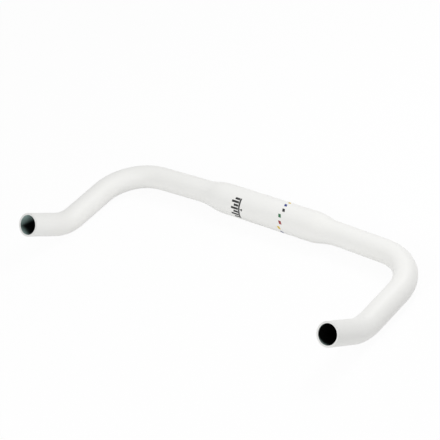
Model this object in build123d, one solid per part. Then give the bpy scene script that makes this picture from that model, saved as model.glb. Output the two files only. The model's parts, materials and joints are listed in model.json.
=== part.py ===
from build123d import *
import os
from math import asin, atan2, degrees, hypot, radians, tan

# Bullhorn handlebar: one aluminium tube, fat where the stem clamps it, swaged down on both sides, swept a
# little forwards, bent through two elbows into horns, and bent upwards once more towards its open ends.
# Frame: +X along the clamp section to the rider's left, -Y forwards, +Z up, origin at the clamp's middle.
# The bar lies as it comes to rest on a table: on the clamp section and on the undersides of the lift bends.

# Driving dimensions, in millimetres and degrees
OVERALL_WIDTH = 400.0   # outside of one horn to outside of the other
CLAMP_DIAMETER = 31.8
CLAMP_LENGTH = 108.0    # full-diameter stretch between the two tapers
CLAMP_WALL = 2.2
TAPER_LENGTH = 31.4
TUBE_DIAMETER = 24.2
TUBE_WALL = 2.0
SWEEP_LEAD = 2.5        # straight tube between a taper and its sweep bend
SWEEP_ANGLE = 2.3       # how far the flats point forwards
SWEEP_RADIUS = 200.0    # bend radii are to the tube's centre line
ELBOW_RADIUS = 47.0
HORN_STRAIGHT = 44.5    # straight tube between the elbow and the lift bend
LIFT_ANGLE = 35.2
LIFT_RADIUS = 49.0
END_STRAIGHT = 42.5     # straight tube between the lift bend and the open end
RIM_BEVEL = 0.4         # broken edges of the open ends, outside and inside

# Worked out from them
clamp_radius = CLAMP_DIAMETER / 2
tube_radius = TUBE_DIAMETER / 2
clamp_bore_radius = clamp_radius - CLAMP_WALL
tube_bore_radius = tube_radius - TUBE_WALL
horn_x = (OVERALL_WIDTH - TUBE_DIAMETER) / 2
taper_start = CLAMP_LENGTH / 2
taper_end = taper_start + TAPER_LENGTH
elbow_angle = 90.0 - SWEEP_ANGLE


def setback(radius, turn):
    """Distance from the corner of a bend to the point where the bend starts."""
    return radius * tan(radians(turn) / 2)


# Corners of the left half's centre line, with the flats and horns in one plane
sweep_corner = Vector(taper_end + SWEEP_LEAD + setback(SWEEP_RADIUS, SWEEP_ANGLE), 0, 0)
elbow_corner = Vector(horn_x, (sweep_corner.X - horn_x) * tan(radians(SWEEP_ANGLE)), 0)
horn_run = setback(ELBOW_RADIUS, elbow_angle) + HORN_STRAIGHT + setback(LIFT_RADIUS, LIFT_ANGLE)
lift_corner = elbow_corner + Vector(0, -horn_run, 0)
end_run = setback(LIFT_RADIUS, LIFT_ANGLE) + END_STRAIGHT
mouth = lift_corner + Vector(0, -end_run, 0).rotate(Axis.X, -LIFT_ANGLE)


def wall_line(middle_radius, end_radius):
    """One side of the clamp section's wall: straight in the middle, then an S-curve of two arcs each way."""
    straight = Line((-taper_start, middle_radius), (taper_start, middle_radius))
    taper_foot = Vector(taper_end, end_radius)
    first_arc = TangentArc(straight @ 1, (straight @ 1 + taper_foot) / 2, tangent=straight % 1)
    second_arc = TangentArc(first_arc @ 1, taper_foot, tangent=first_arc % 1)
    swage = first_arc + second_arc
    return straight + swage + mirror(swage, about=Plane.YZ)


def clamp_section():
    """Fat middle of the bar with its two tapers: the wall's profile turned about the X axis."""
    outside = wall_line(clamp_radius, tube_radius)
    inside = wall_line(clamp_bore_radius, tube_bore_radius)
    left_end = Line((taper_end, tube_bore_radius), (taper_end, tube_radius))
    right_end = mirror(left_end, about=Plane.YZ)
    return revolve(make_face(outside + inside + left_end + right_end), Axis.X)


def horn():
    """Left flat, elbow and horn: a ring carried along the centre line, with its open end dressed."""
    centre_line = FilletPolyline(
        (taper_end, 0, 0),
        sweep_corner,
        elbow_corner,
        lift_corner,
        mouth,
        radius=[SWEEP_RADIUS, ELBOW_RADIUS, LIFT_RADIUS],
    )
    ring = Circle(tube_radius) - Circle(tube_bore_radius)
    tube = sweep(Plane(origin=centre_line @ 0, z_dir=centre_line % 0) * ring, path=centre_line)
    rim = tube.faces().sort_by_distance(mouth)[0]
    return chamfer(rim.edges(), RIM_BEVEL)


def rest_tilt():
    """Degrees by which the plane of flats and horns dips forwards as the bar lies on a table.

    A lift bend is an arc about a point LIFT_RADIUS above its start. The dip brings that point to the height
    at which the bend's underside is as low as the clamp section's.
    """
    bend_start = -lift_corner.Y - setback(LIFT_RADIUS, LIFT_ANGLE)
    centre_distance = hypot(bend_start, LIFT_RADIUS)
    centre_height = LIFT_RADIUS + tube_radius - clamp_radius
    return degrees(atan2(LIFT_RADIUS, bend_start) - asin(centre_height / centre_distance))


left_horn = horn()
bar = clamp_section() + left_horn + mirror(left_horn, about=Plane.YZ)
handlebar = bar.rotate(Axis.X, rest_tilt())

os.makedirs("parts", exist_ok=True)
export_step(handlebar, "parts/handlebar.step")
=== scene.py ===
"""Dresses the bullhorn handlebar: painted tube, bare bore, printed marks, studio and camera."""

import json
import logging
from dataclasses import dataclass, field
from enum import Enum
from math import atan2, ceil, cos, pi, radians, sin, tan

import bpy
import numpy as np
from mathutils import Matrix, Vector


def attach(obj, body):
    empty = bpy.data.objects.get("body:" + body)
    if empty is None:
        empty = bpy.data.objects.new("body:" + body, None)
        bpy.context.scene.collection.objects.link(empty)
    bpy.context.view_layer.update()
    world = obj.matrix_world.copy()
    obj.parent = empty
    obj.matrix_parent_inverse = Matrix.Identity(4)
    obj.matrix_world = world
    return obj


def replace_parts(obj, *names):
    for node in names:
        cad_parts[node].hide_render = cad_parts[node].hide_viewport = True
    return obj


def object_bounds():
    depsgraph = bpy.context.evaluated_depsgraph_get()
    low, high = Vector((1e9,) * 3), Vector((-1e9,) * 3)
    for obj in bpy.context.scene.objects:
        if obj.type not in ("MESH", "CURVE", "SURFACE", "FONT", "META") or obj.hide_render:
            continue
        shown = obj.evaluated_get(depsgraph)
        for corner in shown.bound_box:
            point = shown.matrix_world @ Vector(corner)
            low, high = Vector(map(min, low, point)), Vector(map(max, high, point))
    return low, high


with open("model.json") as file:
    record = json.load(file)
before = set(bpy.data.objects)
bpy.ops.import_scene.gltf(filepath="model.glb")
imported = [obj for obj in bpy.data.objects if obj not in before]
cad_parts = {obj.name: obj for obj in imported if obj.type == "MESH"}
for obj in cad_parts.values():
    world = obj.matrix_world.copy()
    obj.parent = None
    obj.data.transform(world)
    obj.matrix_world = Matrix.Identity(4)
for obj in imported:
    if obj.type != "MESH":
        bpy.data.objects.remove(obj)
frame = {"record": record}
cad_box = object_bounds()

# Kinds of values, for the type hints
Colour = tuple[float, float, float]
Place = tuple[float, float, float]
Span = tuple[float, float]
Socket = bpy.types.NodeSocket
Inputs = dict[str | int, object]

MM = 0.001
UP = np.array((0.0, 0.0, 1.0))
FULL_TURN = 360.0
CORNERS = 4                        # of every face
SHARP_ANGLE = radians(40)          # edges that bend by more than this are shaded as edges
NOISE_SPAN = (0.25, 0.75)          # what a noise's values mostly lie between
WHITE = (1.0, 1.0, 1.0)

BODY = "root"
NODE = "handlebar"

# The tube's own numbers that its finishes read
STRAIGHT_PLACE = "straight_place"  # place of a point if the bar were straight
PAINTED_BORE_LIGHT = "painted_bore_light"        # share of painted light on the bore
RIM_DARKER = "rim_darker"              # share of the rims' darker grey

# The name of the tube's flat map
FLAT_MAP = "OFBake"

log = logging.getLogger(NODE)


class Bend(Enum):
    """The way in which a bend of the bar turns."""

    FORWARDS = "forwards"
    UPWARDS = "upwards"


class Ink(Enum):
    """Printing inks of the clamp section, as linear colours."""

    BLACK = (0.005, 0.005, 0.006)
    BLUE = (0.006, 0.022, 0.190)
    GREEN = (0.010, 0.130, 0.045)
    RED = (0.280, 0.008, 0.012)
    YELLOW = (0.680, 0.470, 0.025)


@dataclass(frozen=True)
class Mount:
    """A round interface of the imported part, in metres.

    Attributes:
        place: the interface's middle.
        axis: its direction.
        radius: its radius.
        length: its length along the axis.
    """

    place: np.ndarray
    axis: np.ndarray
    radius: float
    length: float

    @classmethod
    def named(cls, name: str) -> "Mount":
        """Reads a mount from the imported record.

        Args:
            name: the mount's name in the record.

        Returns:
            The mount of that name.
        """
        entry = next(m for m in frame["record"]["mounts"] if m["name"] == name)
        size = entry["dims"]
        place = np.array(entry["pos_m"])
        axis = np.array(entry["axis"])
        return cls(place, axis, size["r_mm"] * MM, size["length_mm"] * MM)


def grid_faces(numbers: np.ndarray) -> np.ndarray:
    """Faces of a grid of point numbers.

    Args:
        numbers: point numbers in rows and columns. Seen from outside, rows go up where columns go right.

    Returns:
        One row of four point numbers for each cell of the grid.
    """
    corners = (numbers[:-1, :-1], numbers[:-1, 1:], numbers[1:, 1:], numbers[1:, :-1])
    return np.stack(corners, axis=2).reshape(-1, CORNERS)


@dataclass(frozen=True)
class Surface:
    """A mesh as whole arrays.

    Attributes:
        points: one row of three coordinates for each point.
        faces: one row of four point numbers for each face, turning left as seen from outside.
        finishes: the number of each face's finish.
        values: named numbers or vectors at the points, which finishes read.
        flat: places of each face's corners on the piece's flat map, or None.
    """

    points: np.ndarray
    faces: np.ndarray
    finishes: np.ndarray
    values: dict[str, np.ndarray] = field(default_factory=dict)
    flat: np.ndarray | None = None

    def piece(self, name: str, materials: list[bpy.types.Material], slot: str) -> bpy.types.Object:
        """Puts the surface into the scene as a smooth piece that rides with the bar.

        Args:
            name: the piece's name.
            materials: the finishes, in the order of their numbers.
            slot: not used.

        Returns:
            The piece's object, at the origin.
        """
        mesh = bpy.data.meshes.new(name)
        mesh.vertices.add(len(self.points))
        mesh.vertices.foreach_set("co", self.points.astype(np.float32).ravel())
        mesh.loops.add(self.faces.size)
        mesh.loops.foreach_set("vertex_index", self.faces.astype(np.int32).ravel())
        mesh.polygons.add(len(self.faces))
        mesh.polygons.foreach_set("loop_start", np.arange(0, self.faces.size, CORNERS, dtype=np.int32))
        for material in materials:
            mesh.materials.append(material)
        mesh.polygons.foreach_set("material_index", self.finishes.astype(np.int32))
        for label, values in self.values.items():
            kind, entry = ("FLOAT_VECTOR", "vector") if values.ndim == 2 else ("FLOAT", "value")
            attribute = mesh.attributes.new(label, kind, "POINT")
            attribute.data.foreach_set(entry, values.astype(np.float32).ravel())
        if self.flat is not None:
            layer = mesh.uv_layers.new(name=FLAT_MAP)
            layer.uv.foreach_set("vector", self.flat.astype(np.float32).ravel())
        mesh.update(calc_edges=True)
        mesh.shade_smooth()
        mesh.set_sharp_from_angle(angle=SHARP_ANGLE)
        piece = bpy.data.objects.new(name, mesh)
        bpy.context.scene.collection.objects.link(piece)
        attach(piece, BODY)
        return piece


def opaque(colour: Colour) -> tuple[float, ...]:
    """The colour with a full alpha, as colour sockets take it."""
    return (*colour, 1.0)


class NodeBench:
    """The node tree of a material or of the world, with short calls to add nodes and join them."""

    def __init__(self, owner: bpy.types.Material | bpy.types.World) -> None:
        """Clears the owner's node tree and gives it an output.

        Args:
            owner: the material or the world.
        """
        self.owner = owner
        owner.use_nodes = True
        self.tree = owner.node_tree
        self.tree.nodes.clear()
        kind = "World" if isinstance(owner, bpy.types.World) else "Material"
        self.output = self.tree.nodes.new("ShaderNodeOutput" + kind)

    @classmethod
    def material(cls, name: str) -> "NodeBench":
        """Starts a new material of that name."""
        return cls(bpy.data.materials.new(name))

    def node(self, kind: str, inputs: Inputs | None = None, **settings: object) -> bpy.types.Node:
        """Adds a node.

        Args:
            kind: the node's type, without its ShaderNode prefix.
            inputs: socket name or number to a constant, or to the output socket that feeds it.
            settings: the node's own options.

        Returns:
            The new node.
        """
        node = self.tree.nodes.new("ShaderNode" + kind)
        for option, value in settings.items():
            setattr(node, option, value)
        for socket, value in (inputs or {}).items():
            if isinstance(value, Socket):
                self.tree.links.new(value, node.inputs[socket])
            else:
                node.inputs[socket].default_value = value
        return node

    def attribute(self, name: str, output: str) -> Socket:
        """Adds a reader of the piece's own numbers of that name, and returns one of its outputs."""
        return self.node("Attribute", attribute_name=name).outputs[output]

    def noise(self, size: float, detail: float = 2.0, place: Socket | None = None) -> Socket:
        """Adds a noise pattern.

        Args:
            size: the width of one blotch, in metres.
            detail: how many finer layers lie on it.
            place: the coordinates that it follows, or None for Object coordinates.

        Returns:
            The noise's value socket, from 0 to 1 about a mean of one half.
        """
        if place is None:
            place = self.node("TexCoord").outputs["Object"]
        pattern = {"Vector": place, "Scale": 1 / size, "Detail": detail}
        return self.node("TexNoise", pattern).outputs["Fac"]

    def remap(self, value: Socket, source: Span, result: Span) -> Socket:
        """Adds a map from one span of values to another.

        Args:
            value: the value.
            source: the span that it comes from.
            result: the span that it goes to.

        Returns:
            The mapped value's socket, which stops at the ends of the span.
        """
        spans = {"From Min": source[0], "From Max": source[1], "To Min": result[0], "To Max": result[1]}
        return self.node("MapRange", {"Value": value, **spans}).outputs["Result"]

    def between(self, noise: Socket, low: float, high: float) -> Socket:
        """Adds a map from the middle half of a noise's range to the span between two values."""
        return self.remap(noise, NOISE_SPAN, (low, high))

    def math(self, operation: str, first: Socket, second: Socket | float) -> Socket:
        """Adds an operation of the named kind on two numbers, and returns its result."""
        return self.node("Math", {0: first, 1: second}, operation=operation).outputs["Value"]

    def blend(self, factor: Socket, first: Socket | Colour, second: Colour) -> Socket:
        """Adds a mix of two colours.

        Args:
            factor: 0 for the first colour, 1 for the second.
            first: a linear colour, or the socket of one.
            second: a linear colour.

        Returns:
            The mixed colour's socket.
        """
        if isinstance(first, tuple):
            first = opaque(first)
        inputs = {"Factor": factor, "A": first, "B": opaque(second)}
        return self.node("Mix", inputs, data_type="RGBA").outputs["Result"]

    def bump(self, height: Socket, depth: float) -> Socket:
        """Adds a bump whose full height is a depth in metres, and returns its normal."""
        return self.node("Bump", {"Height": height, "Distance": depth}).outputs["Normal"]

    def finish(self, shader: bpy.types.Node) -> bpy.types.Material | bpy.types.World:
        """Joins a shader to the output and returns the tree's owner."""
        self.tree.links.new(shader.outputs[0], self.output.inputs["Surface"])
        return self.owner


@dataclass(frozen=True)
class WhitePaint:
    """Satin white paint, with the slow clouds and the fine peel of a sprayed film.

    Attributes:
        colour: the paint's linear colour.
        thin_colour: its colour where the film is thinner.
        rim_colour: its darker grey on the rims.
        cloud_size: width of the slow changes in tint and gloss.
        smooth: roughness of the glossier clouds.
        rough: roughness of the duller clouds.
        specular: strength of the surface's mirror reflection.
        peel_size: width of one dimple of the peel.
        peel_detail: how many finer layers lie on the peel.
        peel_depth: height of the peel.
    """

    colour: Colour = (0.858, 0.858, 0.844)
    thin_colour: Colour = (0.838, 0.836, 0.812)
    rim_colour: Colour = (0.750, 0.750, 0.735)
    cloud_size: float = 45 * MM
    smooth: float = 0.44
    rough: float = 0.54
    specular: float = 0.35
    peel_size: float = 1.3 * MM
    peel_detail: float = 1.0
    peel_depth: float = 0.006 * MM

    def material(self) -> bpy.types.Material:
        """Builds the paint's nodes.

        Returns:
            The material.
        """
        bench = NodeBench.material("white_paint")
        clouds = bench.noise(self.cloud_size)
        peel = bench.noise(self.peel_size, self.peel_detail)
        film = bench.blend(clouds, self.colour, self.thin_colour)
        shader = bench.node("BsdfPrincipled", {
            "Base Color": bench.blend(bench.attribute(RIM_DARKER, "Fac"), film, self.rim_colour),
            "Roughness": bench.between(clouds, self.smooth, self.rough),
            "Specular IOR Level": self.specular,
            "Normal": bench.bump(peel, self.peel_depth),
        })
        return bench.finish(shader)


@dataclass(frozen=True)
class BareBore:
    """Unpainted inside of the tube, near-black as painted shade, with drawing lines along it and painted
    light near its mouths.

    Attributes:
        colour: the metal's linear colour, near-black: painted shade of the tube's inside.
        dull_colour: its colour where it is more oxidised, also near-black painted shade.
        lit_colour: colour of the painted light near the mouths, a pale grey-green.
        metallic: how far the metal reflects as one.
        line_size: width of one drawing line.
        line_stretch: how much longer than wide a drawing line is.
        line_depth: height of the lines.
        blotch_size: width of the changes in tint and gloss.
        grain_size: width of one speck of the painted light.
        thin_grain: share of the painted light that is left between the specks.
        matt_share: share of the painted light at which the metal no longer reflects as one.
        smooth: roughness of the brighter blotches.
        rough: roughness of the duller blotches.
    """

    # Near-black colours: painted shade of the tube's inside
    colour: Colour = (0.010, 0.012, 0.011)
    dull_colour: Colour = (0.005, 0.006, 0.006)
    # Painted light: pale grey-green that stands in for light falling into the mouths
    lit_colour: Colour = (0.570, 0.760, 0.725)
    metallic: float = 0.6
    line_size: float = 0.8 * MM
    line_stretch: float = 20.0
    line_depth: float = 0.01 * MM
    blotch_size: float = 8.0 * MM
    grain_size: float = 0.6 * MM
    thin_grain: float = 0.8
    matt_share: float = 0.3
    smooth: float = 0.38
    rough: float = 0.55

    def material(self) -> bpy.types.Material:
        """Builds the bore's nodes.

        Returns:
            The material.
        """
        bench = NodeBench.material("bare_bore")
        straight = bench.attribute(STRAIGHT_PLACE, "Vector")
        drawn = bench.node("Mapping", {"Vector": straight, "Scale": (1.0, 1.0, 1 / self.line_stretch)})
        lines = bench.noise(self.line_size, place=drawn.outputs["Vector"])
        blotches = bench.noise(self.blotch_size)
        grain = bench.between(bench.noise(self.grain_size), self.thin_grain, 1.0)
        # Painted light inside the mouths, speckled
        lit_share = bench.math("MULTIPLY", bench.attribute(PAINTED_BORE_LIGHT, "Fac"), grain)
        metal = bench.blend(blotches, self.colour, self.dull_colour)
        shader = bench.node("BsdfPrincipled", {
            "Base Color": bench.blend(lit_share, metal, self.lit_colour),
            "Metallic": bench.remap(lit_share, (0.0, self.matt_share), (self.metallic, 0.0)),
            "Roughness": bench.between(blotches, self.smooth, self.rough),
            "Normal": bench.bump(lines, self.line_depth),
        })
        return bench.finish(shader)


@dataclass(frozen=True)
class PrintedInk:
    """A thin film of printing ink, a little uneven, as satin as the paint under it.

    Attributes:
        ink: the ink's named colour.
        fade: how much paler the ink is where the film is thin.
        speckle_size: width of one thin place.
        smooth: roughness where the film is full.
        rough: roughness where it is thin.
    """

    ink: Ink
    fade: float = 0.02
    speckle_size: float = 0.7 * MM
    smooth: float = 0.44
    rough: float = 0.54

    def material(self) -> bpy.types.Material:
        """Builds the ink's nodes.

        Returns:
            The material.
        """
        bench = NodeBench.material("ink_" + self.ink.name.lower())
        speckle = bench.noise(self.speckle_size)
        thin = tuple(channel + self.fade * (1 - channel) for channel in self.ink.value)
        shader = bench.node("BsdfPrincipled", {
            "Base Color": bench.blend(speckle, self.ink.value, thin),
            "Roughness": bench.between(speckle, self.smooth, self.rough),
        })
        return bench.finish(shader)


@dataclass(frozen=True)
class Run:
    """One stretch of the centre line, straight or bent.

    Attributes:
        length: its length along the centre line.
        turn: how far it bends, in radians.
        bend: the way in which it bends.
    """

    length: float
    turn: float = 0.0
    bend: Bend = Bend.FORWARDS


@dataclass
class CentreLine:
    """The bar's centre line, from the right mouth through the clamp to the left mouth.

    Its half is straight runs joined by arcs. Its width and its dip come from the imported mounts.

    Attributes:
        clamp_length: full-diameter stretch between the two tapers.
        taper_length: each taper.
        sweep_lead: straight tube between a taper and its sweep bend.
        sweep_angle: how far the flats point forwards, in degrees.
        sweep_radius: radius of the sweep bend.
        elbow_radius: radius of the elbow.
        horn_straight: straight tube between the elbow and the lift bend.
        lift_angle: how far the ends point upwards from the horns, in degrees.
        lift_radius: radius of the lift bend.
        end_straight: straight tube between the lift bend and the mouth.
    """

    clamp_length: float = Mount.named("stem_clamp").length
    taper_length: float = 31.4 * MM
    sweep_lead: float = 2.5 * MM
    sweep_angle: float = 2.3
    sweep_radius: float = 200.0 * MM
    elbow_radius: float = 47.0 * MM
    horn_straight: float = 44.5 * MM
    lift_angle: float = 35.2
    lift_radius: float = 49.0 * MM
    end_straight: float = 42.5 * MM

    @property
    def dip(self) -> float:
        """How far the plane of flats and horns dips forwards as the bar lies, in radians."""
        end = Mount.named("left_end_bore")
        return radians(self.lift_angle) - atan2(end.axis[2], -end.axis[1])

    @property
    def runs(self) -> tuple[Run, ...]:
        """The half's runs from the bar's middle.

        Returns:
            The runs in order. The flat's length puts the horns where the end bores are.
        """
        sweep = radians(self.sweep_angle)
        elbow = pi / 2 - sweep
        lift = radians(self.lift_angle)
        middle = self.clamp_length / 2 + self.taper_length + self.sweep_lead
        sweep_setback = self.sweep_radius * tan(sweep / 2)
        elbow_setback = self.elbow_radius * tan(elbow / 2)
        horn_x = Mount.named("left_end_bore").place[0]
        flat = (horn_x - middle - sweep_setback) / cos(sweep) - sweep_setback - elbow_setback
        return (
            Run(middle),
            Run(self.sweep_radius * sweep, sweep),
            Run(flat),
            Run(self.elbow_radius * elbow, elbow),
            Run(self.horn_straight),
            Run(self.lift_radius * lift, lift, Bend.UPWARDS),
            Run(self.end_straight),
        )

    @property
    def half_length(self) -> float:
        """Length of the centre line from the bar's middle to a mouth."""
        return sum(run.length for run in self.runs)

    def half(self, travel: np.ndarray) -> tuple[np.ndarray, np.ndarray]:
        """Points and directions of the left half, with flats and horns in one level plane.

        Each run adds its own share to a point: u * sinc(a) along its heading, and
        u * sin(a / 2) * sinc(a / 2) towards the inside of its bend, where u is how far the point has gone
        into the run and a is how far the run has turned by then. A straight run has a = 0 and adds u along
        its heading.

        Args:
            travel: distances along the centre line from the bar's middle.

        Returns:
            One row for each distance: the points, and the unit directions.
        """
        points = np.zeros((len(travel), 3))
        directions = np.zeros((len(travel), 3))
        heading = np.array((1.0, 0.0, 0.0))
        start = 0.0
        for run in self.runs:
            inside = UP if run.bend is Bend.UPWARDS else np.cross(heading, UP)
            gone = np.clip(travel - start, 0.0, run.length)[:, None]
            angle = gone * run.turn / run.length
            points += gone * np.sinc(angle / pi) * heading
            points += gone * np.sin(angle / 2) * np.sinc(angle / (2 * pi)) * inside
            reached = (travel >= start)[:, None]
            directions = np.where(reached, np.cos(angle) * heading + np.sin(angle) * inside, directions)
            heading = cos(run.turn) * heading + sin(run.turn) * inside
            start += run.length
        return points, directions

    def carry(self, travel: np.ndarray, radius: np.ndarray, around: np.ndarray) -> np.ndarray:
        """Carries circles along the centre line.

        A point is centre + radius * (cos(around) * back + sin(around) * top), where back and top are square
        to the line: back is level, to the bar's outside, and top is upwards. Negative distances are the
        mirrored right half.

        Args:
            travel: distance of each circle from the bar's middle, negative to the right.
            radius: radius of each circle.
            around: angles round a circle.

        Returns:
            Points of shape (circles, angles, 3), dipped as the bar lies.
        """
        side = np.where(travel < 0, -1.0, 1.0)
        centres, directions = self.half(np.abs(travel))
        centres[:, 0] *= side
        directions[:, 1:] *= side[:, None]
        back = np.cross(UP, directions)
        back /= np.linalg.norm(back, axis=1, keepdims=True)
        top = np.cross(directions, back)
        spokes = np.cos(around)[:, None] * back[:, None, :] + np.sin(around)[:, None] * top[:, None, :]
        points = centres[:, None, :] + radius[:, None, None] * spokes
        return points @ np.array(Matrix.Rotation(self.dip, 3, "X")).T


@dataclass(frozen=True)
class BoreLight:
    """Painted light in a mouth: pale patches along its top and bottom that stand in for light falling into
    it.

    Attributes:
        reach: how deep it goes into the mouth.
        lean: how much deeper it goes along the top, as a share, and less deep along the bottom.
        turn: how far its thinnest places are turned down from the bore's outer side, in degrees.
        least: share of it at those places.
        fall: how steeply it ends.
    """

    reach: float
    lean: float
    turn: float = 20.0
    least: float = 0.24
    fall: float = 2.5

    def share(self, depth: np.ndarray, around: np.ndarray) -> np.ndarray:
        """Share of painted light on the bore.

        At the mouth it goes with |sin(a)|, from the least to 1, where a is around + turn. Inwards it falls
        off as exp(-(depth / length)^fall), where length is reach * (1 + lean * sin(a)) times the share at
        the mouth.

        Args:
            depth: distance of each circle from the mouth.
            around: angles round a circle.

        Returns:
            Shares of shape (circles, angles).
        """
        rise = np.sin(around + radians(self.turn))
        mouth = self.least + (1 - self.least) * np.abs(rise)
        length = self.reach * (1 + self.lean * rise) * mouth
        return mouth * np.exp(-((depth[:, None] / length) ** self.fall))


@dataclass
class PaintedTube:
    """The bar itself: one closed wall with paint outside and on its rims, and bare metal inside.

    Attributes:
        line: the bar's centre line.
        clamp_wall: wall of the clamp section.
        rim_round: radius of the rims' broken edges.
        rim_fade: how far the rims' darker grey reaches along the tube.
        paint: finish of the outside and the rims.
        bore: finish of the inside.
        right_bore_light: painted light in the right mouth.
        left_bore_light: painted light in the left mouth.
        step: longest face along the tube.
        sides: faces round the tube.
        rim_steps: faces round one broken edge.
        map_margin: share of the flat map that stays free along each side of a strip.
    """

    line: CentreLine
    clamp_wall: float = 2.2 * MM
    rim_round: float = 0.4 * MM
    rim_fade: float = 0.8 * MM
    paint: WhitePaint = WhitePaint()
    bore: BareBore = BareBore()
    # Painted light in each mouth, much deeper in the right one
    right_bore_light: BoreLight = BoreLight(reach=18.0 * MM, lean=0.75)
    left_bore_light: BoreLight = BoreLight(reach=2.5 * MM, lean=-0.5, turn=-10.0, least=0.08, fall=1.5)
    step: float = 1.5 * MM
    sides: int = 80
    rim_steps: int = 5
    map_margin: float = 0.008

    def taper(self, travel: np.ndarray, middle: float, end: float) -> np.ndarray:
        """Radius of one side of the wall along the bar.

        Between the clamp section and the tube the radius follows two equal arcs of radius R that meet half
        way, each tangent to its own straight: the first is middle - (R - sqrt(R^2 - x^2)) at a distance x
        from the clamp section, and the second is the same from the other end.

        Args:
            travel: distances along the centre line from the bar's middle.
            middle: radius of the clamp section.
            end: radius of the tube.

        Returns:
            The radius at each distance.
        """
        length = self.line.taper_length
        drop = middle - end
        arc = (length**2 + drop**2) / (4 * drop)
        gone = np.clip(np.abs(travel) - self.line.clamp_length / 2, 0.0, length)
        left = length - gone
        first = middle - arc + np.sqrt(arc**2 - np.minimum(gone, length / 2) ** 2)
        second = end + arc - np.sqrt(arc**2 - np.minimum(left, length / 2) ** 2)
        return np.where(gone < left, first, second)

    def stations(self) -> np.ndarray:
        """Distances of the circles along one side of the wall, from the right mouth to the left one.

        Each run is divided evenly, and so is each stretch of the clamp section and its taper.

        Returns:
            The distances in order, ending where the rims' broken edges start.
        """
        clamp = self.line.clamp_length / 2
        taper = self.line.taper_length
        ends = np.cumsum([run.length for run in self.line.runs])
        ends[-1] -= self.rim_round
        breaks = np.concatenate(((0.0, clamp, clamp + taper / 2, clamp + taper), ends))
        spans = zip(breaks[:-1], breaks[1:])
        parts = [np.linspace(a, b, ceil((b - a) / self.step), endpoint=False) for a, b in spans]
        half = np.append(np.concatenate(parts), breaks[-1])
        return np.concatenate((-half[:0:-1], half))

    def wall(self) -> tuple[np.ndarray, np.ndarray, np.ndarray]:
        """The wall's closed outline in the plane of travel and radius.

        It starts at the paint's edge in the right mouth, and runs round the right rim, left along the
        outside, round the left rim and right along the inside. A rim's two edges are quarter circles.

        Returns:
            The outline's distances, its radii, and for each point the finish of the face that starts there.
        """
        clamp = Mount.named("stem_clamp").radius
        tube = Mount.named("left_lever_seat").radius
        bore = Mount.named("left_end_bore").radius
        outside = self.stations()
        inside = outside[::-1]
        quarter = np.linspace(0.0, pi / 2, self.rim_steps + 1)[1:]
        shoulder = self.line.half_length - self.rim_round
        edge = shoulder + self.rim_round * np.sin(quarter)
        outer_rim = tube - self.rim_round * (1 - np.cos(quarter))
        inner_rim = bore + self.rim_round * (1 - np.cos(quarter))
        rim_travel = np.concatenate((edge, edge[::-1]))
        rim_radius = np.concatenate((outer_rim, inner_rim[::-1]))
        travel = np.concatenate((-rim_travel, outside, rim_travel, inside))
        radius = np.concatenate((
            rim_radius[::-1],
            self.taper(outside, clamp, tube),
            rim_radius,
            self.taper(inside, clamp - self.clamp_wall, bore),
        ))
        bare = np.arange(len(travel)) > len(travel) - len(inside)
        # The inside's last point is where the paint's edge is, so it is put first
        return np.roll(travel, 1), np.roll(radius, 1), bare.astype(int)

    def flat_map(self, travel: np.ndarray, radius: np.ndarray, bare: np.ndarray) -> np.ndarray:
        """Lays the wall out flat.

        The outline is cut at the bar's middle and at the paint's edges into four strips, side by side: the
        paint's right and left half and the bore's left and right half. Across a strip goes the angle round
        the tube, and along it the outline's own length.

        Args:
            travel: the outline's distances from the bar's middle.
            radius: the outline's radii.
            bare: for each of its points, the finish of the face that starts there.

        Returns:
            Places from 0 to 1, of shape (faces, corners, 2).
        """
        steps = np.hypot(np.diff(travel, append=travel[0]), np.diff(radius, append=radius[0]))
        gone = np.append(0.0, np.cumsum(steps))
        outside_middle, inside_middle = np.flatnonzero(travel == 0)
        cuts = (0, outside_middle, np.argmax(bare), inside_middle, len(travel))
        width = 1 / (len(cuts) - 1)
        across = np.linspace(self.map_margin, width - self.map_margin, self.sides + 1)
        ends = (self.map_margin, 1 - self.map_margin)
        strips = []
        for number, (first, last) in enumerate(zip(cuts[:-1], cuts[1:])):
            along = np.interp(gone[first:last + 1], (gone[first], gone[last]), ends)
            u, v = np.meshgrid(number * width + across, along)
            corners = grid_faces(np.arange(u.size).reshape(u.shape))
            strips.append(np.stack((u, v), axis=2).reshape(-1, 2)[corners])
        return np.concatenate(strips)

    def depth(self, travel: np.ndarray) -> np.ndarray:
        """Distances from the nearer mouth, for distances from the bar's middle."""
        return self.line.half_length - np.abs(travel)

    def darker_share(self, travel: np.ndarray) -> np.ndarray:
        """Share of the rims' darker grey, which falls off as exp(-(depth / fade)^2) from 1 on the rims."""
        return np.exp(-((self.depth(travel) / self.rim_fade) ** 2))

    def bore_light(self, travel: np.ndarray, around: np.ndarray) -> np.ndarray:
        """Share of painted light on the tube, where each half of the bar has its own mouth's pattern.

        Args:
            travel: distances along the centre line from the bar's middle.
            around: angles round a circle.

        Returns:
            Shares of shape (circles, angles).
        """
        depth = self.depth(travel)
        right = (travel < 0)[:, None]
        return np.where(right, self.right_bore_light.share(depth, around), self.left_bore_light.share(depth, around))

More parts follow.
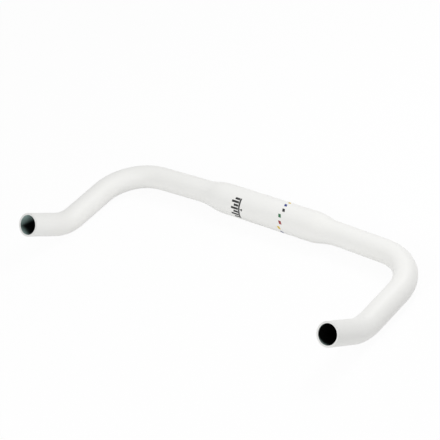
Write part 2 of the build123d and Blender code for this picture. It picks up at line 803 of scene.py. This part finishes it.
    def build(self) -> bpy.types.Object:
        """Carries the wall's outline round the centre line, as a grid that closes on itself both ways.

        Returns:
            The tube's piece, which stands for the bar's solid.
        """
        travel, radius, bare = self.wall()
        around = np.linspace(0.0, 2 * pi, self.sides, endpoint=False)
        points = self.line.carry(travel, radius, around)
        across = radius[:, None] * np.cos(around)
        upward = radius[:, None] * np.sin(around)
        straight = np.stack((across, upward, np.broadcast_to(travel[:, None], across.shape)), axis=2)
        values = {
            STRAIGHT_PLACE: straight.reshape(-1, 3),
            PAINTED_BORE_LIGHT: self.bore_light(travel, around).ravel(),
            RIM_DARKER: np.repeat(self.darker_share(travel), self.sides),
        }
        numbers = np.arange(across.size).reshape(across.shape)
        faces = grid_faces(np.pad(numbers, ((0, 1), (0, 1)), mode="wrap"))
        flat = self.flat_map(travel, radius, bare)
        surface = Surface(points.reshape(-1, 3), faces, np.repeat(bare, self.sides), values, flat)
        piece = surface.piece("painted_tube", [self.paint.material(), self.bore.material()], "white_paint")
        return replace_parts(piece, NODE)


@dataclass(frozen=True)
class Mark:
    """One printed mark on the clamp section.

    Attributes:
        x: its middle along the bar.
        angle: its middle round the bar, in degrees from the top towards the front.
        width: its size along the bar.
        height: its size round the bar.
        ink: its colour.
        lean: how far its lower and upper ends are shifted along the bar, to either side.
        narrowing: share of its height that is missing at its right end.
    """

    x: float
    angle: float
    width: float
    height: float
    ink: Ink = Ink.BLACK
    lean: float = 0.0
    narrowing: float = 0.0


@dataclass
class ClampMarks:
    """Printed marks beside the stem's clamp: a setting scale on one side, coloured dashes on the other.

    Attributes:
        film: how far the ink stands proud of the paint.
        sink: how far the film reaches under the paint's surface.
        cell: longest face of the film round the bar.
        scale_x: where the scale's ticks start along the bar.
        scale_angle: the scale's middle round the bar, in degrees.
        tick_count: number of ticks.
        tick_pitch: angle between two ticks, in degrees.
        tick_width: size of a tick round the bar.
        long_tick: length of every second tick, counted from the middle one.
        short_tick: length of the others.
        rule_width: width of the line that the ticks stand on.
        rule_gap: from that line to the ticks and to the pointer.
        pointer_width: size of the pointer along the bar.
        pointer_height: size of the pointer round the bar.
        pointer_narrowing: share of that height that is missing at its tip.
        dash_x: the dashes' middle along the bar.
        dash_count: number of dashes round the bar.
        dash_width: size of a dash along the bar.
        dash_height: size of a dash round the bar.
        dash_lean: how far a dash's ends are shifted along the bar.
        dash_stagger: how far every second dash is shifted along the bar.
        dash_inks: the dashes' inks in turn.
    """

    film: float = 0.03 * MM
    sink: float = 0.05 * MM
    cell: float = 1.0 * MM
    scale_x: float = -29.0 * MM
    scale_angle: float = 73.0
    tick_count: int = 7
    tick_pitch: float = 12.4
    tick_width: float = 2.3 * MM
    long_tick: float = 9.0 * MM
    short_tick: float = 5.8 * MM
    rule_width: float = 1.8 * MM
    rule_gap: float = 0.3 * MM
    pointer_width: float = 2.8 * MM
    pointer_height: float = 3.0 * MM
    pointer_narrowing: float = 0.85
    dash_x: float = 23.8 * MM
    dash_count: int = 15
    dash_width: float = 3.1 * MM
    dash_height: float = 3.4 * MM
    dash_lean: float = 0.7 * MM
    dash_stagger: float = 1.8 * MM
    dash_inks: tuple[Ink, ...] = (Ink.BLUE, Ink.BLACK, Ink.GREEN, Ink.RED, Ink.YELLOW)

    def scale(self) -> list[Mark]:
        """Lays out the scale: a ruled line round the bar, ticks on one side of it, a pointer on the other.

        Returns:
            The scale's marks.
        """
        clamp = Mount.named("stem_clamp").radius
        rule_x = self.scale_x + self.rule_gap + self.rule_width / 2
        rule_height = radians(self.tick_pitch) * (self.tick_count - 1) * clamp + self.tick_width
        pointer_x = rule_x + self.rule_width / 2 + self.rule_gap + self.pointer_width / 2
        pointer_size = (self.pointer_width, self.pointer_height)
        marks = [
            Mark(rule_x, self.scale_angle, self.rule_width, rule_height),
            Mark(pointer_x, self.scale_angle, *pointer_size, narrowing=self.pointer_narrowing),
        ]
        middle = self.tick_count // 2
        for place in range(-middle, self.tick_count - middle):
            length = self.short_tick if place % 2 else self.long_tick
            angle = self.scale_angle + place * self.tick_pitch
            marks.append(Mark(self.scale_x - length / 2, angle, length, self.tick_width))
        return marks

    def dashes(self) -> list[Mark]:
        """Lays out the dashes evenly round the bar, leaning and staggered, with the inks in turn.

        Returns:
            The dashes' marks.
        """
        marks = []
        for number in range(self.dash_count):
            side = 1 if number % 2 else -1
            x = self.dash_x + side * self.dash_stagger / 2
            angle = FULL_TURN * number / self.dash_count
            ink = self.dash_inks[number % len(self.dash_inks)]
            marks.append(Mark(x, angle, self.dash_width, self.dash_height, ink, self.dash_lean))
        return marks

    def film_surface(self, marks: list[Mark], inks: list[Ink]) -> Surface:
        """Works out the upper side of some marks' ink film, wrapped on the clamp section.

        A mark is a grid of u and v from -1 to 1. Along the bar a point lies at x + u * width / 2 + v * lean,
        and round the bar at angle + v * height / 2 / radius, less its narrowing towards u = -1.

        Args:
            marks: the marks.
            inks: the inks, in the order of their numbers.

        Returns:
            The film's surface.
        """
        clamp = Mount.named("stem_clamp").radius
        cells = ceil(max(mark.height for mark in marks) / self.cell)
        u, v = np.meshgrid((-1.0, 1.0), np.linspace(-1.0, 1.0, cells + 1), indexing="ij")
        rows = [(m.x, radians(m.angle), m.width, m.height, m.lean, m.narrowing) for m in marks]
        x, angle, width, height, lean, narrowing = np.array(rows).T[:, :, None, None]
        along = x + u * width / 2 + v * lean
        turn = angle + v * height / 2 / clamp * (1 - narrowing * (1 - u) / 2)
        outside = clamp + self.film
        points = np.stack((along, -outside * np.sin(turn), outside * np.cos(turn)), axis=3)
        numbers = np.arange(along.size).reshape(along.shape)
        faces = np.concatenate([grid_faces(grid) for grid in numbers])
        finishes = np.repeat([inks.index(mark.ink) for mark in marks], cells)
        return Surface(points.reshape(-1, 3), faces, finishes)

    def build(self) -> list[bpy.types.Object]:
        """Prints the scale and the dashes.

        Returns:
            The two pieces.
        """
        pieces = []
        for name, marks in (("setting_scale", self.scale()), ("colour_dashes", self.dashes())):
            inks = [ink for ink in Ink if any(mark.ink is ink for mark in marks)]
            materials = [PrintedInk(ink).material() for ink in inks]
            piece = self.film_surface(marks, inks).piece(name, materials, "clamp_print")
            film = piece.modifiers.new("film", "SOLIDIFY")
            film.thickness = self.film + self.sink
            film.offset = -1.0  # inwards from the upper side
            piece.modifiers.new("level_shading", "WEIGHTED_NORMAL")
            pieces.append(piece)
        return pieces


@dataclass(frozen=True)
class Lamp:
    """A soft square lamp.

    Attributes:
        name: its name.
        place: where it stands.
        size: its width and height.
        power: its power, in watts.
        aim: the point that it faces, which is between the horns.
    """

    name: str
    place: Place
    size: float
    power: float
    aim: Place = (0.0, -0.06, 0.0)

    def build(self) -> None:
        """Hangs the lamp."""
        light = bpy.data.lights.new(self.name, "AREA")
        light.size = self.size
        light.energy = self.power
        lamp = bpy.data.objects.new(self.name, light)
        lamp.location = self.place
        lamp.rotation_euler = (Vector(self.aim) - Vector(self.place)).to_track_quat("-Z", "Y").to_euler()
        bpy.context.scene.collection.objects.link(lamp)


@dataclass(frozen=True)
class PhotoCamera:
    """The camera at the photograph's viewing angle.

    Attributes:
        aim: the point in the middle of the picture.
        distance: from that point to the camera.
        azimuth: degrees from looking along +Y, positive towards the bar's left.
        elevation: degrees above the table.
        roll: degrees by which the picture's level line is turned.
        lens: focal length in millimetres.
        sensor: width and height of the square sensor in millimetres.
    """

    aim: Place = (-37.4 * MM, -35.2 * MM, 1.2 * MM)
    distance: float = 1835.5 * MM
    azimuth: float = 44.24
    elevation: float = 34.87
    roll: float = -10.6
    lens: float = 147.5
    sensor: float = 36.0

    def build(self) -> None:
        """Sets the camera up and makes it the scene's camera."""
        turn = radians(self.azimuth)
        rise = radians(self.elevation)
        forward = Vector((-sin(turn) * cos(rise), cos(turn) * cos(rise), -sin(rise)))
        level = forward.cross(Vector(UP)).normalized()
        upright = level.cross(forward)
        right = cos(radians(self.roll)) * level + sin(radians(self.roll)) * upright
        data = bpy.data.cameras.new("photo_camera")
        data.lens = self.lens
        data.sensor_width = self.sensor
        camera = bpy.data.objects.new("photo_camera", data)
        rotation = Matrix((right, right.cross(forward), -forward)).transposed()
        place = Vector(self.aim) - self.distance * forward
        camera.matrix_world = Matrix.Translation(place) @ rotation.to_4x4()
        bpy.context.scene.collection.objects.link(camera)
        bpy.context.scene.camera = camera


@dataclass(frozen=True)
class Studio:
    """A pale floor, even light from all round, and soft lamps.

    Attributes:
        floor_size: width and depth of the floor.
        floor_grey: the floor's linear colour, a plain grey.
        floor_glow: share of plain white in the floor as the camera sees it.
        ambient: level of the light from all round.
        lamps: the lamps.
    """

    floor_size: float = 12.0
    floor_grey: float = 0.88
    floor_glow: float = 0.94
    ambient: float = 0.62
    lamps: tuple[Lamp, ...] = (
        Lamp("front_softbox", place=(0.19, -1.00, 0.58), size=0.4, power=3.4),
        Lamp("back_softbox", place=(0.20, 0.35, 0.60), size=0.3, power=1.9),
    )

    @property
    def horizon(self) -> float:
        """Level of the floor far from the lamps, as the camera sees it."""
        return self.floor_glow + (1 - self.floor_glow) * self.floor_grey * self.ambient

    def seen(self, bench: NodeBench) -> Socket:
        """Adds a switch that is 1 for what the camera, a reflection or a clear piece shows, and 0 for light.

        Args:
            bench: the node tree that gets the switch.

        Returns:
            The switch's socket.
        """
        path = bench.node("LightPath").outputs
        mirrored = bench.math("MAXIMUM", path["Is Glossy Ray"], path["Is Transmission Ray"])
        return bench.math("MAXIMUM", path["Is Camera Ray"], mirrored)

    def floor(self) -> None:
        """Lays the floor under the lowest point of the bar."""
        low = cad_box[0][2]
        half = self.floor_size / 2
        mesh = bpy.data.meshes.new("floor")
        corners = [(-half, -half, low), (half, -half, low), (half, half, low), (-half, half, low)]
        mesh.from_pydata(corners, [], [(0, 1, 2, 3)])
        bench = NodeBench.material("floor")
        grey = (self.floor_grey, self.floor_grey, self.floor_grey)
        matt = bench.node("BsdfDiffuse", {"Color": opaque(grey)})
        white = bench.node("Emission", {"Color": opaque(WHITE), "Strength": 1.0})
        glow = bench.math("MULTIPLY", self.seen(bench), self.floor_glow)
        mix = bench.node("MixShader", {0: glow, 1: matt.outputs[0], 2: white.outputs[0]})
        mesh.materials.append(bench.finish(mix))
        floor = bpy.data.objects.new("floor", mesh)
        bpy.context.scene.collection.objects.link(floor)

    def surroundings(self) -> None:
        """Lights the scene evenly from all round, and shows the floor's far level behind it."""
        bench = NodeBench(bpy.data.worlds.new("surroundings"))
        light = bench.node("Background", {"Color": opaque(WHITE), "Strength": self.ambient})
        shown = bench.node("Background", {"Color": opaque(WHITE), "Strength": self.horizon})
        mix = bench.node("MixShader", {0: self.seen(bench), 1: light.outputs[0], 2: shown.outputs[0]})
        bpy.context.scene.world = bench.finish(mix)

    def build(self) -> None:
        """Sets up the floor, the surroundings, the lamps and the plain view transform."""
        self.floor()
        self.surroundings()
        for lamp in self.lamps:
            lamp.build()
        bpy.context.scene.view_settings.view_transform = "Standard"


def main() -> None:
    """Builds the bar, its marks, the studio and the camera in order."""
    logging.basicConfig(level=logging.INFO, format="%(message)s")
    line = CentreLine()
    pieces = [PaintedTube(line).build(), *ClampMarks().build()]
    for piece in pieces:
        log.info("%s: %d points, %d faces", piece.name, len(piece.data.vertices), len(piece.data.polygons))
    Studio().build()
    PhotoCamera().build()


if __name__ == "__main__":
    main()
